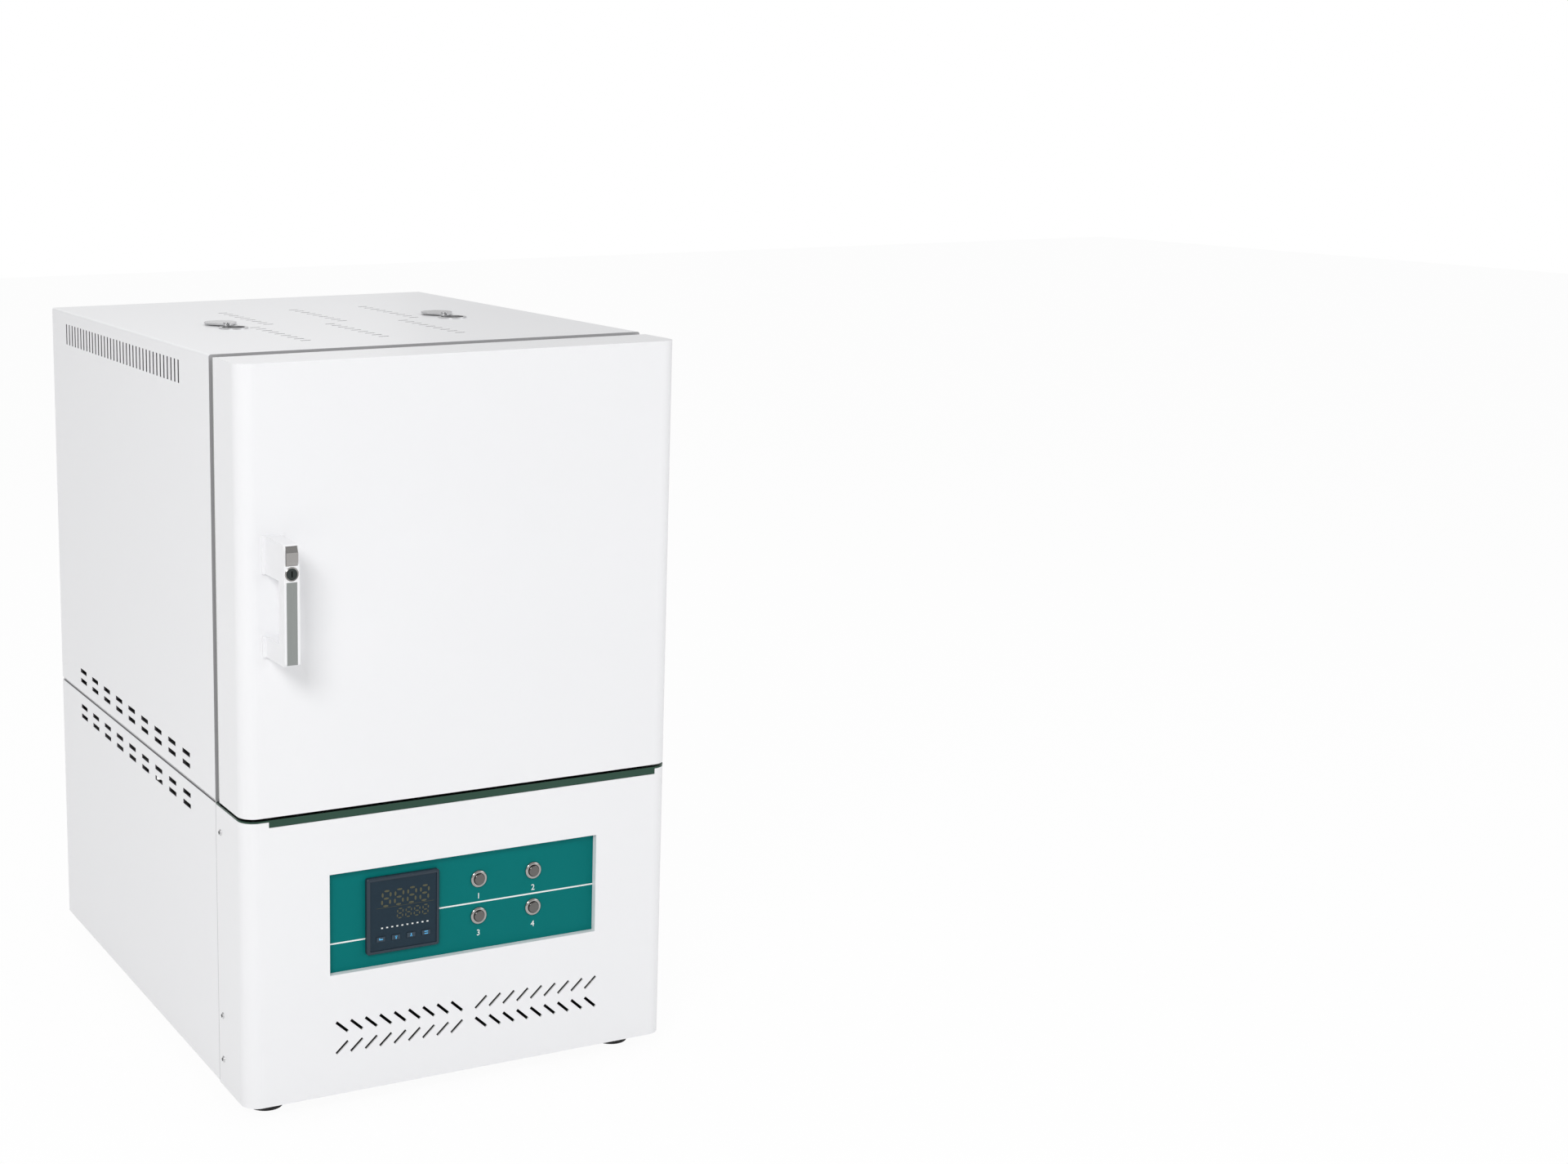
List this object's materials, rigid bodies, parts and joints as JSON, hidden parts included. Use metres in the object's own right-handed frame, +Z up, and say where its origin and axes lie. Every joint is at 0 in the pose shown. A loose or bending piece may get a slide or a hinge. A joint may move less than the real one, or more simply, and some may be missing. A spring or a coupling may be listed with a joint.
{
  "type": "muffle furnace",
  "caption": "Laboratory box furnace with a deep side-hung door, tapered insulating plug, fibre chamber with heating rods, and a control panel below.",
  "frame": {"origin": "on the floor under the middle of the whole outline", "axes": "+Z up, +X to the right seen from the front, +Y to the back; the door opens at the front (-Y) on hinges at +X"},
  "size_m": [0.5902, 0.8106, 0.9173],
  "materials": {
    "white_coat": "smooth powder coat",
    "mirror_steel": "mirror polished stainless sheet",
    "galvanised": "zinc plated sheet",
    "stainless": "brushed stainless",
    "chrome": "polished plating",
    "teal_print": "satin printed plate",
    "black_plastic": "dark moulded housing",
    "screen": "dark display window",
    "blue_key": "soft key",
    "white_fibre": "rigid ceramic fibre board",
    "blanket": "packed ceramic fibre",
    "seal": "black silicone cord",
    "foot_rubber": "matt black",
    "element": "dark oxidised heating rod",
    "ceramic": "glazed ceramic block",
    "probe": "brown sheath",
    "grey_strip": "grey insert",
    "black_metal": "black lock barrel",
    "zinc": "yellowish zinc plate",
    "copper": "varnished copper winding",
    "alu": "extruded heat sink",
    "gland_black": "black nylon"
  },
  "bodies": {
    "case": {"upper_case": "white_coat", "lower_case": "white_coat", "deck_plate": "galvanised", "sill_plate": "mirror_steel", "front_panel": "white_coat", "control_plate": "teal_print", "controller_housing": "black_plastic", "controller_face": "screen", "button_bezels": "chrome", "rear_cover": "white_coat", "cable_gland": "gland_black", "base_rails": "zinc", "feet": "foot_rubber", "face_plate": "mirror_steel", "face_screws": "chrome", "strike": "chrome", "collar": "white_fibre", "muffle_roof": "white_fibre", "muffle_floor": "white_fibre", "muffle_left": "white_fibre", "muffle_right": "white_fibre", "muffle_back": "white_fibre", "insulation_jacket": "blanket", "heating_elements": "element", "element_holders": "ceramic", "thermocouple": "probe", "vent_rings": "stainless", "vent_pivots": "stainless", "hinge_case_leaves": "stainless", "hinge_pins": "stainless", "case_screws": "stainless", "transformer": "galvanised", "transformer_coil": "copper", "scr_module": "alu"},
    "door": {"door_shell": "white_coat", "door_liner": "mirror_steel", "gasket_frame": "stainless", "door_gasket": "seal", "door_block": "white_fibre", "door_plug": "white_fibre", "door_filler": "blanket", "hinge_door_leaves": "stainless", "hinge_guard": "white_coat", "handle_body": "white_coat", "handle_strip": "grey_strip", "latch_bracket": "galvanised", "liner_screws": "stainless"},
    "thumb": {"thumb_button": "chrome"},
    "latch": {"latch_plate": "galvanised"},
    "lock": {"lock_barrel": "black_metal"},
    "vent_cover_left": {"vent_cover_1": "stainless"},
    "vent_cover_right": {"vent_cover_2": "stainless"},
    "button_1": {"button_1": "chrome"},
    "key_1": {"key_1": "blue_key"},
    "button_2": {"button_2": "chrome"},
    "key_2": {"key_2": "blue_key"},
    "button_3": {"button_3": "chrome"},
    "key_3": {"key_3": "blue_key"},
    "button_4": {"button_4": "chrome"},
    "key_4": {"key_4": "blue_key"}
  },
  "joints": [
    {"name": "door_hinge", "type": "hinge", "parent": "case", "child": "door", "pos_m": [0.2881, -0.23375, 0.642], "axis": [0, 0, 1], "range_deg": [0, 110]},
    {"name": "thumb_press", "type": "slide", "parent": "door", "child": "thumb", "axis": [0, 1, 0], "range_m": [0, 0.006], "stiffness_N_per_m": 500, "springref_m": -0.004},
    {"name": "latch_slide", "type": "slide", "parent": "door", "child": "latch", "axis": [0, 0, -1], "range_m": [0, 0.008]},
    {"name": "lock_turn", "type": "hinge", "parent": "door", "child": "lock", "pos_m": [-0.2534, -0.40325, 0.6805], "axis": [0, 1, 0], "range_deg": [0, 90]},
    {"name": "vent_swing_left", "type": "hinge", "parent": "case", "child": "vent_cover_left", "pos_m": [-0.1629, 0.03425, 0.912], "axis": [0, 0, 1], "range_deg": [0, 180]},
    {"name": "vent_swing_right", "type": "hinge", "parent": "case", "child": "vent_cover_right", "pos_m": [0.1471, 0.03425, 0.912], "axis": [0, 0, 1], "range_deg": [0, 180]},
    {"name": "button_press_1", "type": "slide", "parent": "case", "child": "button_1", "axis": [0, 1, 0], "range_m": [0, 0.003], "stiffness_N_per_m": 400, "springref_m": -0.002},
    {"name": "button_press_2", "type": "slide", "parent": "case", "child": "button_2", "axis": [0, 1, 0], "range_m": [0, 0.003], "stiffness_N_per_m": 400, "springref_m": -0.002},
    {"name": "button_press_3", "type": "slide", "parent": "case", "child": "button_3", "axis": [0, 1, 0], "range_m": [0, 0.003], "stiffness_N_per_m": 400, "springref_m": -0.002},
    {"name": "button_press_4", "type": "slide", "parent": "case", "child": "button_4", "axis": [0, 1, 0], "range_m": [0, 0.003], "stiffness_N_per_m": 400, "springref_m": -0.002},
    {"name": "key_press_1", "type": "slide", "parent": "case", "child": "key_1", "axis": [0, 1, 0], "range_m": [0, 0.0008], "stiffness_N_per_m": 300, "springref_m": -0.001},
    {"name": "key_press_2", "type": "slide", "parent": "case", "child": "key_2", "axis": [0, 1, 0], "range_m": [0, 0.0008], "stiffness_N_per_m": 300, "springref_m": -0.001},
    {"name": "key_press_3", "type": "slide", "parent": "case", "child": "key_3", "axis": [0, 1, 0], "range_m": [0, 0.0008], "stiffness_N_per_m": 300, "springref_m": -0.001},
    {"name": "key_press_4", "type": "slide", "parent": "case", "child": "key_4", "axis": [0, 1, 0], "range_m": [0, 0.0008], "stiffness_N_per_m": 300, "springref_m": -0.001}
  ],
  "couplings": [
    {"joint": "latch_slide", "follows": "thumb_press", "ratio": 1.3333}
  ]
}
